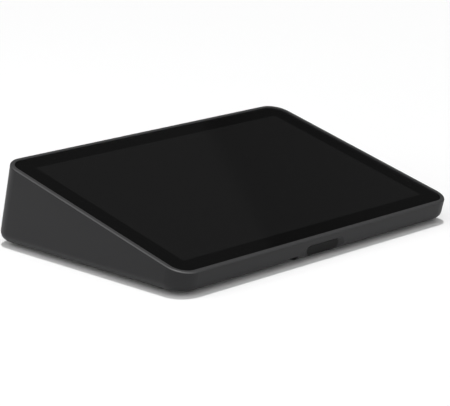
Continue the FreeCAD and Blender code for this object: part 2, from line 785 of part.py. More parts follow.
def build_base():
    """The base plate with its cable bay, duct, board posts and speaker slots; screws, feet, insert."""
    size = tuple(f"({side} - 2 * base_gap)" for side in BASE_OPENING)
    corner = "base_corner - base_gap"
    body = plate("base_body", size, corner, "foot_height", "plate_thickness", y=BASE_MIDDLE)
    bay = {"x": "0", "y": "bay_centre_y"}
    flange = outline(sketch(body, z=PLATE_TOP, **bay), "bay_flange_width", "bay_flange_length", "bay_corner")
    pad(body, flange, "bay_flange_thickness")
    tub_size = ("bay_width + 2 * bay_wall", "bay_length + 2 * bay_wall")
    tub = outline(sketch(body, z=PLATE_TOP, **bay), *tub_size, "bay_corner + bay_wall")
    pad(body, tub, "bay_height + bay_wall")
    hollow = outline(sketch(body, z="foot_height", **bay), "bay_width", "bay_length", "bay_corner")
    pocket(body, hollow, "plate_thickness + bay_height", up=True)
    recess = outline(
        sketch(body, z="foot_height", **bay),
        "cover_width + 2 * cover_gap",
        "cover_length + 2 * cover_gap",
        "cover_corner + cover_gap",
    )
    pocket(body, recess, "plate_thickness", up=True)
    doc.recompute()

    posts = [cylinder(x, y, "post_radius", f"{PLATE_TOP} - weld", BOARD_BOTTOM) for x, y in BOARD_POSTS]
    boss = cylinder(*COVER_SCREW, "insert_boss_radius", PLATE_TOP, f"{PLATE_TOP} + insert_boss_height")
    half = "outlet_width / 2"
    wide = f"({half} + bay_wall)"
    bay_front = "(bay_centre_y - bay_length / 2)"
    bay_back = "(bay_centre_y + bay_length / 2)"
    cover_back = "(bay_centre_y + cover_length / 2 + cover_gap)"
    duct_top = "foot_height + outlet_height + bay_wall"
    duct = box((f"-{wide}", wide), (bay_back, OUTLET_END), (PLATE_TOP, duct_top))
    skirt = box((f"-{wide}", wide), (cover_back, OUTLET_END), ("foot_height", PLATE_TOP))
    shell = fuse(body, *posts, boss, duct, skirt)

    outlet = (f"{bay_back} - {OVER}", f"{OUTLET_END} + {OVER}")
    holes = [box((f"-{half}", half), outlet, (UNDER, "foot_height + outlet_height"))]
    for x, y in BASE_SCREWS:
        holes.append(cylinder(x, y, "base_screw_hole_radius", *THROUGH_PLATE))
        holes.append(cylinder(x, y, "counterbore_radius", UNDER, BASE_HEAD_TOP))
    for x, y in BOARD_POSTS:
        holes.append(cylinder(x, y, PILOT, f"{BOARD_TOP} - {SCREW_BITE}", BOARD_TOP))
    for x, y in FEET:
        holes.append(foot(x, y, UNDER, "foot_height + foot_seat", "foot_gap"))
    holes.append(cylinder(*COVER_SCREW, "insert_radius", PLATE_TOP, f"{PLATE_TOP} + insert_length"))
    clearance_top = f"{PLATE_TOP} + insert_boss_height - insert_boss_cap"
    holes.append(cylinder(*COVER_SCREW, "cover_screw_radius + loose_gap", PLATE_TOP, clearance_top))
    for step in range(-2, 3):
        y = f"speaker_y + {step} * slot_pitch"
        holes.append(block("speaker_x", y, "slot_length", "slot_width", *THROUGH_PLATE))
    for x, width, height in PORTS:
        across = (f"{x} - {width} / 2 - port_gap", f"{x} + {width} / 2 + port_gap")
        along = (f"{bay_front} - bay_wall - {OVER}", f"{bay_front} + {OVER}")
        upright = (f"{BOARD_TOP} - port_gap", f"{BOARD_TOP} + {height} + port_gap")
        holes.append(box(across, along, upright))
    node(cut(shell, fuse(*holes)), "base_plate")

    screws = []
    for x, y in BASE_SCREWS:
        head = cylinder(x, y, "base_head_radius", "foot_height + base_head_sink", BASE_HEAD_TOP)
        shank = cylinder(x, y, "base_screw_radius", BASE_HEAD_TOP, f"{BASE_HEAD_TOP} + base_screw_length")
        screws.append(fuse(head, shank))
    node(fuse(*screws), "base_screws")
    node(fuse(*[foot(x, y, "0", "foot_height + foot_seat", "0") for x, y in FEET]), "feet")
    insert_top = f"{PLATE_TOP} + insert_length"
    sleeve = cylinder(*COVER_SCREW, "insert_radius", PLATE_TOP, insert_top)
    bore_span = (f"{PLATE_TOP} - {OVER}", f"{insert_top} + {OVER}")
    bore = cylinder(*COVER_SCREW, "cover_screw_radius + run_gap", *bore_span)
    node(cut(sleeve, bore), "screw_insert")


def foot(x, y, bottom, top, grow):
    """A round-ended rubber foot, or the seat for one."""
    wide = f"(foot_width + 2 * {grow})"
    straight = "(foot_length - foot_width)"
    ends = [cylinder(f"({x}) + {side} * {straight} / 2", y, f"{wide} / 2", bottom, top) for side in (-1, 1)]
    return fuse(block(x, y, straight, wide, bottom, top), *ends)


def build_cover():
    """The lift-off cover of the cable bay and its captive screw."""
    size = ("cover_width", "cover_length")
    body = plate("cover_body", size, "cover_corner", "foot_height", "plate_thickness", y="bay_centre_y")
    head_top = "(foot_height + cover_head_recess)"
    head_bottom = f"({head_top} - cover_head_height)"
    shank_hole = cylinder(*COVER_SCREW, "cover_screw_radius + loose_gap", *THROUGH_PLATE)
    head_hole = cylinder(*COVER_SCREW, "cover_head_radius + loose_gap", UNDER, head_top)
    node(cut(body, fuse(shank_hole, head_hole)), "cable_cover")
    head = cylinder(*COVER_SCREW, "cover_head_radius", head_bottom, head_top)
    shank = cylinder(*COVER_SCREW, "cover_screw_radius", head_top, f"{head_top} + cover_screw_length")
    slot_span = (f"{head_bottom} - {OVER}", f"{head_bottom} + cover_slot_depth")
    slot = block(*COVER_SCREW, "cover_head_slot", "3 * cover_head_radius", *slot_span)
    node(cut(fuse(head, shank), slot), "cover_screw")


def port(label, x, width, height, length, socket):
    """A port body whose mouth looks into the cable bay."""
    across = (f"{x} - {width} / 2", f"{x} + {width} / 2")
    body = box(across, (f"port_face_y - {length}", "port_face_y"), (BOARD_TOP, f"{BOARD_TOP} + {height}"))
    node(cut(body, socket), label)


def build_ports():
    """The network, USB and power ports along the back edge of the main board."""
    for name in ("network", "usb"):
        x = f"{name}_x"
        wide, high, deep = (f"{name}_socket_{side}" for side in ("width", "height", "depth"))
        middle = f"({BOARD_TOP} + {name}_height / 2)"
        across = (f"{x} - {wide} / 2", f"{x} + {wide} / 2")
        upright = (f"{middle} - {high} / 2", f"{middle} + {high} / 2")
        socket = box(across, (f"port_face_y - {deep}", f"port_face_y + {OVER}"), upright)
        port(f"{name}_port", x, f"{name}_width", f"{name}_height", f"{name}_length", socket)
    middle = f"({BOARD_TOP} + inlet_height / 2)"
    bottom = "port_face_y - inlet_bore_depth"
    bore = along_y("inlet_x", middle, "inlet_bore_radius", bottom, f"port_face_y + {OVER}")
    pin = along_y("inlet_x", middle, "inlet_pin_radius", bottom, "port_face_y - inlet_pin_inset")
    port("power_inlet", "inlet_x", "inlet_width", "inlet_height", "inlet_length", cut(bore, pin))


def along_y(x, z, radius, start, finish):
    """A round bar lying along y."""
    made = doc.addObject("Part::Cylinder", "Cylinder")
    made.Placement.Rotation = FreeCAD.Rotation(V(-1, 0, 0), 90)
    bind(made, Radius=radius, Height=f"({finish}) - ({start})")
    return place(made, x, start, z)


def on_board(name, y=None):
    """A rectangular component standing on the main board."""
    size = (f"{name}_width", f"{name}_length")
    return block(f"{name}_x", y or f"{name}_y", *size, BOARD_TOP, f"{BOARD_TOP} + {name}_height")


def build_electronics():
    """The main board and everything soldered, bonded or plugged to it, and the speaker."""
    board = block("0", "board_y", "board_width", "board_length", BOARD_BOTTOM, BOARD_TOP)
    span = (f"{BOARD_BOTTOM} - {OVER}", f"{BOARD_TOP} + {OVER}")
    drilled = [cylinder(x, y, "small_hole_radius", *span) for x, y in BOARD_POSTS]
    node(cut(board, fuse(*drilled)), "main_board")

    at = ("processor_x", "processor_y")
    chip_top = f"({BOARD_TOP} + processor_height)"
    pad_top = f"({chip_top} + pad_thickness)"
    node(block(*at, "processor_size", "processor_size", BOARD_TOP, chip_top), "processor")
    pad_size = "(processor_size - 2 * pad_inset)"
    node(block(*at, pad_size, pad_size, chip_top, pad_top), "thermal_pad")
    sink = [block(*at, "sink_size", "sink_size", pad_top, f"{pad_top} + sink_base")]
    for step in range(-2, 3):
        x = f"processor_x + {step} * (sink_size - fin_thickness) / 4"
        fin_size = ("fin_thickness", "sink_size")
        sink.append(block(x, "processor_y", *fin_size, pad_top, f"{pad_top} + sink_height"))
    node(fuse(*sink), "heat_sink")

    memory = [on_board("memory", y=f"memory_y + {side} * memory_pitch / 2") for side in (-1, 1)]
    node(fuse(*memory), "memory_chips")
    node(on_board("can"), "reader_can")
    node(on_board("module"), "wireless_module")
    buzzer_top = f"{BOARD_TOP} + buzzer_height"
    node(cylinder("buzzer_x", "buzzer_y", "buzzer_radius", BOARD_TOP, buzzer_top), "buzzer")

    at = ("coin_x", "coin_y")
    cell_bottom = f"({BOARD_TOP} + holder_floor)"
    cell_top = f"({cell_bottom} + coin_height)"
    holder = cylinder(*at, "coin_radius + coin_gap + holder_wall", BOARD_TOP, cell_top)
    well = cylinder(*at, "coin_radius + coin_gap", cell_bottom, f"{cell_top} + {OVER}")
    node(cut(holder, well), "cell_holder")
    node(cylinder(*at, "coin_radius", cell_bottom, cell_top), "coin_cell")

    at = ("connector_x", "connector_y")
    connector_top = f"({BOARD_TOP} + connector_height)"
    node(block(*at, "connector_width", "connector_length", BOARD_TOP, connector_top), "display_connector")
    ahead = "(connector_y - ribbon_thickness / 2 - deck_centre_y)"
    reach = f"({DECK_Z} + {ahead} * {TAN} + {LCD_BACK} / {COS})"
    node(block(*at, "ribbon_width", "ribbon_thickness", connector_top, reach), "display_ribbon")

    at = ("speaker_x", "speaker_y")
    gasket_top = f"({PLATE_TOP} + speaker_gasket)"
    frame = block(*at, "speaker_width", "speaker_length", PLATE_TOP, gasket_top)
    open_size = ("speaker_width - 2 * speaker_rim", "speaker_length - 2 * speaker_rim")
    window = block(*at, *open_size, f"{PLATE_TOP} - {OVER}", f"{gasket_top} + {OVER}")
    node(cut(frame, window), "speaker_gasket_frame")
    speaker_top = f"{gasket_top} + speaker_height"
    node(block(*at, "speaker_width", "speaker_length", gasket_top, speaker_top), "speaker")


def build_back():
    """The power button with its switch and board, and the steel plate behind the lock slot."""
    at = ("button_x", BUTTON_OUT)
    cap = back_cylinder(*at, "button_radius", f"{BACK_INNER} - weld", f"{BACK} + button_proud")
    collar = back_cylinder(*at, "button_flange_radius", BUTTON_FLANGE_INNER, BACK_INNER)
    stem_span = (f"{SWITCH_FACE} - button_stem_reach", f"{BUTTON_FLANGE_INNER} + weld")
    stem = back_cylinder(*at, "button_stem_radius", *stem_span)
    node(fuse(cap, collar, stem), "power_button")

    body = back_block(*at, "switch_size", "switch_size", BUTTON_BOARD_FACE, SWITCH_FACE)
    socket_span = (f"{SWITCH_FACE} - switch_socket_depth", f"{SWITCH_FACE} + {OVER}")
    socket = back_cylinder(*at, "button_stem_radius + run_gap", *socket_span)
    node(cut(body, socket), "button_switch")

    size = ("button_board_width", "button_board_height")
    board = back_block(*at, *size, BUTTON_BOARD_BACK, BUTTON_BOARD_FACE)
    span = (f"{BUTTON_BOARD_BACK} - {OVER}", f"{BUTTON_BOARD_FACE} + {OVER}")
    drilled = [back_cylinder(x, BUTTON_OUT, "small_hole_radius", *span) for x in BUTTON_POST_X]
    node(cut(board, fuse(*drilled)), "button_board")

    size = ("lock_plate_width", "lock_plate_height")
    steel = back_block("lock_x", LOCK_OUT, *size, LOCK_PLATE_FACE, BACK_INNER)
    span = (f"{LOCK_PLATE_FACE} - {OVER}", f"{BACK_INNER} + {OVER}")
    slot = box(LOCK_SPAN, span, LOCK_OUT_SPAN, deck=True)
    drilled = [back_cylinder(x, LOCK_OUT, "small_hole_radius", *span) for x in LOCK_SCREW_X]
    node(cut(steel, slot, fuse(*drilled)), "lock_plate")


def back_block(x, out, width, height, inner, outer):
    """A block square to the back wall, centred on x and a distance below the glass."""
    across = (f"{x} - {width} / 2", f"{x} + {width} / 2")
    upright = (f"{out} - {height} / 2", f"{out} + {height} / 2")
    return box(across, (inner, outer), upright, deck=True)


def back_screw(x, out, face):
    """A small screw driven towards the back wall from inside."""
    head = back_cylinder(x, out, "small_head_radius", f"{face} - small_head_height", face)
    shank = back_cylinder(x, out, "small_screw_radius", face, f"{face} + small_screw_length")
    return fuse(head, shank)


def build_small_screws():
    """Every small screw: display tray, main board, button board and lock plate."""
    screws = [up_screw(x, y, TRAY_BACK, deck=True) for x, y in TRAY_EARS]
    screws += [down_screw(x, y, BOARD_TOP) for x, y in BOARD_POSTS]
    screws += [back_screw(x, BUTTON_OUT, BUTTON_BOARD_BACK) for x in BUTTON_POST_X]
    screws += [back_screw(x, LOCK_OUT, LOCK_PLATE_FACE) for x in LOCK_SCREW_X]
    node(fuse(*screws), "small_screws")


build_housing()
build_display()
build_window()
build_base()
build_cover()
build_ports()
build_electronics()
build_back()
build_small_screws()
doc.recompute()

for thing in doc.Objects:
    if "Invalid" in thing.State or "Error" in thing.State:
        raise RuntimeError(f"{thing.Name} did not build: {thing.State}")

os.makedirs("parts", exist_ok=True)
for thing in NODES:
    if thing.Shape.isNull() or not thing.Shape.isValid():
        raise RuntimeError(f"{thing.Label} has no valid shape")
    thing.Shape.exportStep(f"parts/{thing.Label}.step")
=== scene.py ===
"""A wedge-shaped countertop touchscreen terminal: its finishes, the stage it stands on and the camera."""

import json
import math

import bpy
from mathutils import Matrix, Vector

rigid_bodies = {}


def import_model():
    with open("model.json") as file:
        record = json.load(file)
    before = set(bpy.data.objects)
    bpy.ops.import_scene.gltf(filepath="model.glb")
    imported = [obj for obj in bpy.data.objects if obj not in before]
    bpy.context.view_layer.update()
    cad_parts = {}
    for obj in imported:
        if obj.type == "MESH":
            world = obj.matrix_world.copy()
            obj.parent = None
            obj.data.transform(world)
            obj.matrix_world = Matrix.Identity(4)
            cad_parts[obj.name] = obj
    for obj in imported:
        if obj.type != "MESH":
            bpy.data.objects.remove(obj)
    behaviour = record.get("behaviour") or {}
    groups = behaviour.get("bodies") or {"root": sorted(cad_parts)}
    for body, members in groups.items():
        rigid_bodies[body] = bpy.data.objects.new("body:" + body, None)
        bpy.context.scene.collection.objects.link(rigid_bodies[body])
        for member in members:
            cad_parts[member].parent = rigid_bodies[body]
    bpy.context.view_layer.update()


bl_info = {
    "name": "Countertop terminal",
    "version": (1, 0, 0),
    "blender": (4, 5, 0),
    "location": "View3D > Sidebar > Terminal",
    "description": "Finishes and stages a wedge-shaped touchscreen terminal",
    "category": "Object",
}

TILT = math.radians(14)
FACE_CENTRE = Vector((0, -0.0057, 0.035))


# --- settings -------------------------------------------------------------------------------------


class FinishSettings(bpy.types.PropertyGroup):
    """The finishes of the terminal's pieces."""

    housing_tone: bpy.props.FloatVectorProperty(
        name="Housing tone",
        description="Colour of the moulded shell",
        subtype="COLOR",
        size=3,
        min=0,
        max=1,
        default=(0.0115, 0.0115, 0.0122),
    )
    housing_roughness: bpy.props.FloatProperty(
        name="Housing roughness",
        description="How matt the moulded shell is",
        default=0.45,
        min=0,
        max=1,
        subtype="FACTOR",
    )
    housing_sheen: bpy.props.FloatProperty(
        name="Housing sheen",
        description="How strongly the moulded shell mirrors",
        default=0.2,
        min=0,
        max=1,
        subtype="FACTOR",
    )
    rim_bottom: bpy.props.FloatProperty(
        name="Rim bottom",
        description="Where the polished rim starts, measured outwards from the glass",
        default=0.0002,
        min=-0.01,
        max=0.01,
        unit="LENGTH",
        precision=5,
    )
    rim_roughness: bpy.props.FloatProperty(
        name="Rim roughness",
        description="How matt the polished rim is",
        default=0.5,
        min=0,
        max=1,
        subtype="FACTOR",
    )
    rim_sheen: bpy.props.FloatProperty(
        name="Rim sheen",
        description="How strongly the polished rim mirrors",
        default=1.0,
        min=0,
        max=1,
        subtype="FACTOR",
    )
    grain_size: bpy.props.FloatProperty(
        name="Grain size",
        description="Distance between the pits of the moulded texture",
        default=0.0006,
        min=0.0001,
        max=0.01,
        unit="LENGTH",
        precision=5,
    )
    grain_depth: bpy.props.FloatProperty(
        name="Grain depth",
        description="Depth of the moulded texture",
        default=0.00002,
        min=0,
        max=0.001,
        unit="LENGTH",
        precision=6,
    )
    border_tone: bpy.props.FloatProperty(
        name="Border tone",
        description="Brightness of the printed border under the glass",
        default=0.0035,
        min=0,
        max=1,
        precision=4,
    )
    active_tone: bpy.props.FloatProperty(
        name="Display tone",
        description="Brightness of the switched-off display",
        default=0.008,
        min=0,
        max=1,
        precision=4,
    )
    active_size: bpy.props.FloatVectorProperty(
        name="Display size",
        description="Width and length of the part of the glass that shows a picture",
        size=2,
        default=(0.217, 0.1356),
        unit="LENGTH",
        precision=4,
    )
    glass_roughness: bpy.props.FloatProperty(
        name="Glass roughness",
        description="How much the cover glass blurs what it mirrors",
        default=0.04,
        min=0,
        max=1,
        subtype="FACTOR",
    )
    window_tone: bpy.props.FloatProperty(
        name="Window tone",
        description="Brightness of the smoked sensor window",
        default=0.006,
        min=0,
        max=1,
        precision=4,
    )


class StageSettings(bpy.types.PropertyGroup):
    """The floor, the lights and the camera."""

    floor_tone: bpy.props.FloatProperty(
        name="Floor tone", description="Brightness of the floor", default=0.86, min=0, max=1, subtype="FACTOR"
    )
    overhead: bpy.props.FloatProperty(
        name="Overhead light", description="Strength of the light straight above", default=1.8, min=0, max=20
    )
    overhead_angle: bpy.props.FloatProperty(
        name="Overhead softness",
        description="Apparent size of the light straight above",
        default=math.radians(1.5),
        min=0,
        max=math.pi,
        subtype="ANGLE",
    )
    sky_low: bpy.props.FloatProperty(
        name="Low surroundings",
        description="Brightness of the room near the horizon",
        default=0.010,
        min=0,
        max=10,
    )
    sky_high: bpy.props.FloatProperty(
        name="High surroundings", description="Brightness of the room overhead", default=0.5, min=0, max=10
    )
    front_fill: bpy.props.FloatProperty(
        name="Front fill", description="Extra brightness of the room in front", default=1.8, min=0, max=10
    )
    panel_glow: bpy.props.FloatProperty(
        name="Panel glow",
        description="Brightness of the faint panel mirrored in the glass",
        default=0.018,
        min=0,
        max=10,
    )
    panel_edge: bpy.props.FloatVectorProperty(
        name="Panel edge",
        description="Direction square to the straight edge of that panel",
        subtype="DIRECTION",
        size=3,
        default=(0.697, -0.262, -0.668),
    )
    left_power: bpy.props.FloatProperty(
        name="Left panel", description="Power of the soft light at the left rear", default=0.7, min=0, max=100
    )
    left_place: bpy.props.FloatVectorProperty(
        name="Left panel place",
        description="Where the soft light at the left rear stands",
        subtype="TRANSLATION",
        unit="LENGTH",
        size=3,
        default=(-0.5, 0.35, 0.4),
    )
    right_power: bpy.props.FloatProperty(
        name="Right panel",
        description="Power of the soft light at the right front",
        default=0.02,
        min=0,
        max=100,
    )
    right_place: bpy.props.FloatVectorProperty(
        name="Right panel place",
        description="Where the soft light at the right front stands",
        subtype="TRANSLATION",
        unit="LENGTH",
        size=3,
        default=(0.45, -0.5, 0.3),
    )
    lens: bpy.props.FloatProperty(
        name="Lens", description="Focal length of the camera in millimetres", default=156.55, min=10, max=1000
    )
    camera_place: bpy.props.FloatVectorProperty(
        name="Camera place",
        description="Where the camera stands",
        subtype="TRANSLATION",
        unit="LENGTH",
        size=3,
        default=(-0.86709, -0.85519, 0.34129),
    )
    camera_target: bpy.props.FloatVectorProperty(
        name="Camera target",
        description="The point the camera looks at",
        subtype="TRANSLATION",
        unit="LENGTH",
        size=3,
        default=(-0.00627, -0.00441, 0.02168),
    )
    camera_roll: bpy.props.FloatProperty(
        name="Camera roll",
        description="Turn of the camera about its line of sight",
        default=math.radians(0.072),
        min=-math.pi,
        max=math.pi,
        subtype="ANGLE",
    )


# --- material nodes -------------------------------------------------------------------------------


class Graph:
    """The node tree of a material or of the surroundings, with short ways to add and join nodes."""

    def __init__(self, owner, shader="Principled BSDF", place="Object"):
        owner.use_nodes = True
        self.material = owner
        self.tree = owner.node_tree
        self.shader = self.tree.nodes[shader]
        self.place = self.add("ShaderNodeTexCoord").outputs[place]

    def add(self, kind, settings=None, **inputs):
        """Add a node; inputs are values, or sockets to join to."""
        made = self.tree.nodes.new(kind)
        for name, value in (settings or {}).items():
            setattr(made, name, value)
        for name, value in inputs.items():
            self.feed(made, name.replace("_", " "), value)
        return made

    def feed(self, node, name, value):
        """Set an input socket, or join another node's output to it."""
        socket = node.inputs[int(name)] if name.isdigit() else node.inputs[name]
        if isinstance(value, bpy.types.NodeSocket):
            self.tree.links.new(value, socket)
        else:
            socket.default_value = value

    def set(self, **inputs):
        """Set the shader's own inputs."""
        for name, value in inputs.items():
            self.feed(self.shader, name.replace("_", " "), value)

    def math(self, operation, first, second=0.0):
        """A two-input sum."""
        made = self.add("ShaderNodeMath", {"operation": operation})
        self.feed(made, "0", first)
        self.feed(made, "1", second)
        return made.outputs[0]

    def noise(self, size, detail=4.0, roughness=0.5, place=None):
        """Cloudy noise whose lumps are about one size across."""
        made = self.add("ShaderNodeTexNoise", Scale=1 / size, Detail=detail, Roughness=roughness)
        self.feed(made, "Vector", place or self.place)
        return made.outputs["Fac"]

    def spread(self, value, low, high, start=0.0, end=1.0, smooth=False):
        """Map a range, 0..1 unless given, to another."""
        made = self.add("ShaderNodeMapRange", {"interpolation_type": "SMOOTHSTEP" if smooth else "LINEAR"})
        self.feed(made, "Value", value)
        self.feed(made, "From Min", start)
        self.feed(made, "From Max", end)
        self.feed(made, "To Min", low)
        self.feed(made, "To Max", high)
        return made.outputs["Result"]

    def blend(self, factor, first, second):
        """Mix two colours."""
        made = self.add("ShaderNodeMix", {"data_type": "RGBA"})
        self.feed(made, "0", factor)
        for index, value in ((6, first), (7, second)):
            if isinstance(value, bpy.types.NodeSocket):
                self.tree.links.new(value, made.inputs[index])
            else:
                made.inputs[index].default_value = value
        return made.outputs[2]

    def mix(self, factor, first, second):
        """Mix two numbers."""
        made = self.add("ShaderNodeMix", {"data_type": "FLOAT"})
        for name, value in (("0", factor), ("2", first), ("3", second)):
            self.feed(made, name, value)
        return made.outputs[0]

    def bump(self, height, depth):
        """Raise the surface by a height between 0 and 1 times a depth in metres."""
        made = self.add("ShaderNodeBump", Strength=1.0, Distance=depth)
        self.feed(made, "Height", height)
        self.tree.links.new(made.outputs["Normal"], self.shader.inputs["Normal"])


def surface(name):
    """The node tree of a new material."""
    return Graph(bpy.data.materials.new(name))


def shade(tone, factor=1.0):
    """A colour with its alpha, from a grey or a colour, made lighter or darker."""
    parts = [tone] * 3 if isinstance(tone, (int, float)) else list(tone)
    return (*(min(1.0, part * factor) for part in parts), 1.0)


def leaning(graph):
    """Coordinates that lean with the display, with its middle as their centre."""
    turn = {"rotation_type": "X_AXIS"}
    lean = graph.add("ShaderNodeVectorRotate", turn, Angle=-TILT, Center=tuple(FACE_CENTRE))
    graph.feed(lean, "Vector", graph.place)
    shifted = graph.add("ShaderNodeVectorMath", {"operation": "SUBTRACT"})
    graph.feed(shifted, "0", lean.outputs["Vector"])
    graph.feed(shifted, "1", FACE_CENTRE)
    return graph.add("ShaderNodeSeparateXYZ", Vector=shifted.outputs["Vector"]).outputs


def moulded(name, tone, roughness, grain_size, grain_depth, sheen=0.5, rim=None):
    """Moulded plastic: a fine pitted texture, a faint unevenness, and on the shell a polished rim."""
    graph = surface(name)
    cloud = graph.noise(0.04, detail=3.0)
    gloss = graph.spread(cloud, roughness - 0.03, roughness + 0.03)
    shine = sheen
    if rim:
        bottom, rim_roughness, rim_sheen = rim
        polished = graph.spread(leaning(graph)["Z"], 0.0, 1.0, bottom - 0.0003, bottom, smooth=True)
        gloss = graph.mix(polished, gloss, rim_roughness)
        shine = graph.mix(polished, sheen, rim_sheen)
    graph.set(
        Base_Color=graph.blend(cloud, shade(tone, 0.93), shade(tone, 1.07)),
        Roughness=gloss,
        Specular_IOR_Level=shine,
    )
    pits = graph.add("ShaderNodeTexVoronoi", {"feature": "SMOOTH_F1"}, Scale=1 / grain_size, Smoothness=0.6)
    graph.feed(pits, "Vector", graph.place)
    graph.bump(pits.outputs["Distance"], grain_depth)
    return graph.material


def metal(name, tone, roughness, stretch=(1, 1, 1), grain=0.0004, metallic=1.0):
    """Sheet or turned metal: fine drawn lines in its sheen."""
    graph = surface(name)
    drawn = graph.add("ShaderNodeMapping", Scale=stretch)
    graph.feed(drawn, "Vector", graph.place)
    lines = graph.noise(grain, detail=5.0, place=drawn.outputs["Vector"])
    cloud = graph.noise(0.01)
    graph.set(
        Metallic=metallic,
        Base_Color=graph.blend(cloud, shade(tone, 0.9), shade(tone)),
        Roughness=graph.spread(lines, roughness - 0.08, roughness + 0.08),
    )
    graph.bump(lines, 0.000004)
    return graph.material


def soft(name, tone, roughness=0.8, size=0.0005):
    """Rubber, foam, adhesive or filled pad: matt, with a fine uneven skin."""
    graph = surface(name)
    skin = graph.noise(size, detail=6.0, roughness=0.7)
    graph.set(
        Base_Color=graph.blend(skin, shade(tone, 0.8), shade(tone, 1.2)),
        Roughness=graph.spread(skin, roughness - 0.06, roughness + 0.06),
        Specular_IOR_Level=0.3,
    )
    graph.bump(skin, 0.00003)
    return graph.material


def circuit(name):
    """A green board: tracks under the mask, and small bright pads."""
    graph = surface(name)
    tracks = graph.add("ShaderNodeTexBrick", Scale=300.0, Mortar_Size=0.03, Brick_Width=1.6, Row_Height=0.35)
    graph.feed(tracks, "Vector", graph.place)
    pads = graph.add("ShaderNodeTexVoronoi", {"feature": "F1"}, Scale=260.0, Randomness=0.55)
    graph.feed(pads, "Vector", graph.place)
    dots = graph.math("LESS_THAN", pads.outputs["Distance"], 0.16)
    mask = graph.blend(tracks.outputs["Fac"], (0.006, 0.05, 0.02, 1), (0.012, 0.11, 0.045, 1))
    graph.set(
        Base_Color=graph.blend(dots, mask, (0.62, 0.6, 0.55, 1)),
        Metallic=graph.math("MULTIPLY", dots, 0.9),
        Roughness=graph.spread(graph.noise(0.003), 0.25, 0.4),
    )
    graph.bump(tracks.outputs["Fac"], 0.00003)
    return graph.material


def paint(material, *nodes):
    """Give some of the frame's nodes one material."""
    shown = bpy.data.objects
    for name in nodes:
        if name not in shown:
            raise RuntimeError(f"the frame has no piece named {name}")
        shown[name].data.materials.clear()
        shown[name].data.materials.append(material)


# --- operators ------------------------------------------------------------------------------------


class TERMINAL_OT_finish_shell(bpy.types.Operator):
    """Finish the moulded outside: the shell, the base, the cable cover and the button."""

    bl_idname = "terminal.finish_shell"
    bl_label = "Finish the shell"

    def execute(self, context):
        look = context.scene.terminal_finish
        grain = (look.grain_size, look.grain_depth)
        tone = tuple(look.housing_tone)
        sheen = look.housing_sheen
        rim = (look.rim_bottom, look.rim_roughness, look.rim_sheen)
        paint(moulded("shell_plastic", tone, look.housing_roughness, *grain, sheen, rim), "housing")
        darker = tuple(0.8 * part for part in tone)
        base = moulded("base_plastic", darker, look.housing_roughness + 0.08, *grain, sheen)
        paint(base, "base_plate", "cable_cover")
        paint(moulded("button_plastic", tone, look.housing_roughness - 0.12, *grain), "power_button")
        return {"FINISHED"}


class TERMINAL_OT_finish_glass(bpy.types.Operator):
    """Finish the cover glass: a black printed border round the slightly paler display."""

    bl_idname = "terminal.finish_glass"
    bl_label = "Finish the glass"

    def execute(self, context):
        look = context.scene.terminal_finish
        graph = surface("front_glass")
        across = leaning(graph)
        inside = 1.0
        for axis, side in zip("XY", look.active_size):
            within = graph.math("LESS_THAN", graph.math("ABSOLUTE", across[axis]), side / 2)
            inside = graph.math("MULTIPLY", within, inside)
        haze = graph.noise(0.03)
        graph.set(
            Base_Color=graph.blend(inside, shade(look.border_tone), shade(look.active_tone)),
            Roughness=graph.spread(haze, look.glass_roughness - 0.01, look.glass_roughness + 0.01),
            IOR=1.5,
            Specular_IOR_Level=0.5,
        )
        paint(graph.material, "cover_glass")
        layer = surface("touch_layer")
        layer.set(Base_Color=shade(0.02), Roughness=layer.spread(layer.noise(0.02), 0.05, 0.12), IOR=1.5)
        paint(layer.material, "touch_sensor")
        return {"FINISHED"}


class TERMINAL_OT_finish_window(bpy.types.Operator):
    """Finish the smoked sensor window in the front edge."""

    bl_idname = "terminal.finish_window"
    bl_label = "Finish the sensor window"

    def execute(self, context):
        look = context.scene.terminal_finish
        graph = surface("window_plastic")
        ripple = graph.noise(0.0012, detail=2.0)
        graph.set(
            Base_Color=graph.blend(ripple, shade(look.window_tone, 0.85), shade(look.window_tone, 1.15)),
            Roughness=graph.spread(ripple, 0.3, 0.38),
            Specular_IOR_Level=0.06,
        )
        graph.bump(ripple, 0.00001)
        paint(graph.material, "sensor_window")
        return {"FINISHED"}


class TERMINAL_OT_finish_metals(bpy.types.Operator):
    """Finish the screws, the sheet steel, the heat sink, the cell, the insert and the copper."""

    bl_idname = "terminal.finish_metals"
    bl_label = "Finish the metals"

    def execute(self, context):
        steel = metal("tray_steel", (0.56, 0.57, 0.58), 0.36, stretch=(0.05, 1, 1))
        paint(steel, "display_tray", "lock_plate", "reader_can", "wireless_module")
        paint(steel, "network_port", "usb_port")
        zinc = metal("screw_steel", (0.42, 0.43, 0.45), 0.32)
        paint(zinc, "small_screws", "base_screws", "cover_screw")
        paint(metal("sink_aluminium", (0.74, 0.74, 0.75), 0.3, stretch=(1, 0.05, 1)), "heat_sink")
        paint(metal("cell_steel", (0.72, 0.71, 0.68), 0.22), "coin_cell")
        paint(metal("insert_brass", (0.72, 0.52, 0.22), 0.28, stretch=(1, 1, 0.05)), "screw_insert")
        copper = metal("copper_flex", (0.55, 0.26, 0.12), 0.42, stretch=(1, 0.1, 1))
        paint(copper, "contactless_loop", "sensor_flex", "display_ribbon")
        return {"FINISHED"}


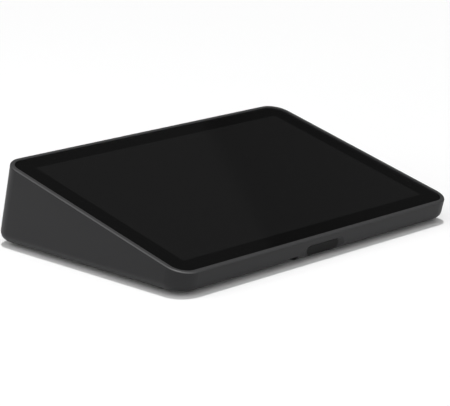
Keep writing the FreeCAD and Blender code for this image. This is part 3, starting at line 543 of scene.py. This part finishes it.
class TERMINAL_OT_finish_boards(bpy.types.Operator):
    """Finish the circuit boards and the packages they carry."""

    bl_idname = "terminal.finish_boards"
    bl_label = "Finish the boards"

    def execute(self, context):
        paint(circuit("board_mask"), "main_board", "sensor_board", "button_board")
        package = moulded("chip_package", 0.012, 0.55, 0.0003, 0.00001)
        paint(package, "processor", "memory_chips", "presence_sensor", "buzzer", "button_switch")
        body = moulded("connector_plastic", 0.02, 0.45, 0.0006, 0.00001)
        paint(body, "speaker", "cell_holder", "display_connector", "power_inlet")
        panel = moulded("panel_frame", 0.02, 0.3, 0.001, 0.000005)
        paint(panel, "lcd_panel")
        return {"FINISHED"}


class TERMINAL_OT_finish_soft(bpy.types.Operator):
    """Finish the feet, the adhesive, the foam and the thermal pad."""

    bl_idname = "terminal.finish_soft"
    bl_label = "Finish the soft pieces"

    def execute(self, context):
        paint(soft("foot_rubber", 0.018), "feet")
        paint(soft("adhesive", 0.012, 0.7), "glass_gasket", "foam_frame", "speaker_gasket_frame")
        paint(soft("thermal_compound", (0.25, 0.3, 0.42)), "thermal_pad")
        return {"FINISHED"}


class TERMINAL_OT_set_stage(bpy.types.Operator):
    """Add the floor, the lights and the camera."""

    bl_idname = "terminal.set_stage"
    bl_label = "Set the stage"

    def execute(self, context):
        stage = context.scene.terminal_stage
        self.add_floor(stage)
        self.add_surroundings(context.scene, stage)
        self.add_overhead(context.scene, stage)
        self.add_side_panel(context.scene, "left_panel", stage.left_place, stage.left_power)
        self.add_side_panel(context.scene, "right_panel", stage.right_place, stage.right_power)
        self.add_camera(context.scene, stage)
        context.scene.view_settings.view_transform = "Standard"
        return {"FINISHED"}

    def add_floor(self, stage):
        bpy.ops.mesh.primitive_plane_add(size=30)
        floor = bpy.context.object
        floor.name = "floor"
        graph = surface("floor_paint")
        cloud = graph.noise(0.5, detail=2.0)
        tone = stage.floor_tone
        graph.set(
            Base_Color=graph.blend(cloud, shade(tone, 0.995), shade(tone)),
            Roughness=0.75,
            Specular_IOR_Level=0.2,
        )
        floor.data.materials.append(graph.material)

    def add_surroundings(self, scene, stage):
        """A room that is bright overhead and in front, and dim behind, where the glass mirrors it."""
        scene.world = bpy.data.worlds.new("room")
        graph = Graph(scene.world, "Background", "Generated")

        def towards(direction):
            made = graph.add("ShaderNodeVectorMath", {"operation": "DOT_PRODUCT"})
            graph.feed(made, "0", graph.place)
            graph.feed(made, "1", Vector(direction).normalized())
            return made.outputs["Value"]

        room = graph.spread(towards((0, 0, 1)), stage.sky_low, stage.sky_high, 0.62, 0.9, smooth=True)
        front = graph.spread(towards((-0.7, -0.7, 0.1)), 0.0, stage.front_fill, 0.2, 0.9, smooth=True)
        panel = graph.spread(towards(stage.panel_edge), stage.panel_glow, 0.0, -0.002, 0.002)
        corner = graph.spread(towards(stage.panel_edge), 0.0, stage.panel_glow, 0.0, 0.09)
        total = graph.math("ADD", graph.math("ADD", room, front), graph.math("ADD", panel, corner))
        graph.set(Color=(1, 1, 1, 1), Strength=total)

    def add_overhead(self, scene, stage):
        lamp = bpy.data.lights.new("overhead", "SUN")
        lamp.energy = stage.overhead
        lamp.angle = stage.overhead_angle
        holder = bpy.data.objects.new("overhead", lamp)
        scene.collection.objects.link(holder)

    def add_side_panel(self, scene, name, place, power):
        """A soft square light beside the terminal, turned to face it."""
        lamp = bpy.data.lights.new(name, "AREA")
        lamp.size = 0.4
        lamp.energy = power
        holder = bpy.data.objects.new(name, lamp)
        turn = (FACE_CENTRE - Vector(place)).to_track_quat("-Z", "Y").to_matrix().to_4x4()
        holder.matrix_world = Matrix.Translation(place) @ turn
        scene.collection.objects.link(holder)

    def add_camera(self, scene, stage):
        lens = bpy.data.cameras.new("camera")
        lens.sensor_fit = "HORIZONTAL"
        lens.sensor_width = 36
        lens.lens = stage.lens
        lens.clip_end = 100
        holder = bpy.data.objects.new("camera", lens)
        sight = Vector(stage.camera_target) - Vector(stage.camera_place)
        turn = sight.to_track_quat("-Z", "Y").to_matrix().to_4x4()
        roll = Matrix.Rotation(stage.camera_roll, 4, "Z")
        holder.matrix_world = Matrix.Translation(stage.camera_place) @ turn @ roll
        scene.collection.objects.link(holder)
        scene.camera = holder


class TERMINAL_PT_sidebar(bpy.types.Panel):
    """The terminal's settings and steps."""

    bl_label = "Terminal"
    bl_space_type = "VIEW_3D"
    bl_region_type = "UI"
    bl_category = "Terminal"

    def draw(self, context):
        for title, group in (("Finish", "terminal_finish"), ("Stage", "terminal_stage")):
            settings = getattr(context.scene, group)
            shown = self.layout.box()
            shown.label(text=title)
            for name in settings.__annotations__:
                shown.prop(settings, name)
        for operator in STEPS:
            self.layout.operator(operator.bl_idname)


STEPS = (
    TERMINAL_OT_finish_shell,
    TERMINAL_OT_finish_glass,
    TERMINAL_OT_finish_window,
    TERMINAL_OT_finish_metals,
    TERMINAL_OT_finish_boards,
    TERMINAL_OT_finish_soft,
    TERMINAL_OT_set_stage,
)
CLASSES = (FinishSettings, StageSettings, *STEPS, TERMINAL_PT_sidebar)


def register():
    """Add the classes and the scene's settings."""
    for item in CLASSES:
        bpy.utils.register_class(item)
    bpy.types.Scene.terminal_finish = bpy.props.PointerProperty(type=FinishSettings)
    bpy.types.Scene.terminal_stage = bpy.props.PointerProperty(type=StageSettings)


def unregister():
    """Take the settings and the classes away."""
    del bpy.types.Scene.terminal_stage
    del bpy.types.Scene.terminal_finish
    for item in reversed(CLASSES):
        bpy.utils.unregister_class(item)


def main():
    """Load the frame and run each step in order."""
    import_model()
    register()
    for operator in STEPS:
        area, name = operator.bl_idname.split(".")
        getattr(getattr(bpy.ops, area), name)()


if __name__ == "__main__":
    main()
